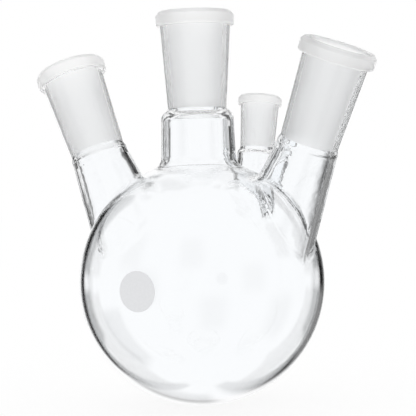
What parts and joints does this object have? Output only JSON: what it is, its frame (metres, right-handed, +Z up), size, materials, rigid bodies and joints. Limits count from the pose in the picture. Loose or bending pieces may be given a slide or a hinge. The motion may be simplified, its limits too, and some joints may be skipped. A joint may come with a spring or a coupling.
{
  "type": "four neck round bottom flask",
  "caption": "Round-bottom glass reaction flask with an upright centre neck, leaning side necks and a small thermometer neck, each ending in a beaded, frosted taper socket.",
  "frame": {"origin": "lowest point of the bulb, on the centre neck's axis", "axes": "+Z up the centre neck, -Y to the front, where the marking spot shows left of the middle. Counter-clockwise from +X, the side necks are at -35 and 145 degrees and the small neck at 55 degrees"},
  "size_m": [0.1408, 0.1082, 0.1632],
  "materials": {
    "clear_glass": "clear, frosted inside the ground sockets",
    "marking_enamel": "fired matt enamel"
  },
  "bodies": {
    "root": {"flask": "clear_glass", "marking_spot": "marking_enamel"}
  },
  "joints": []
}
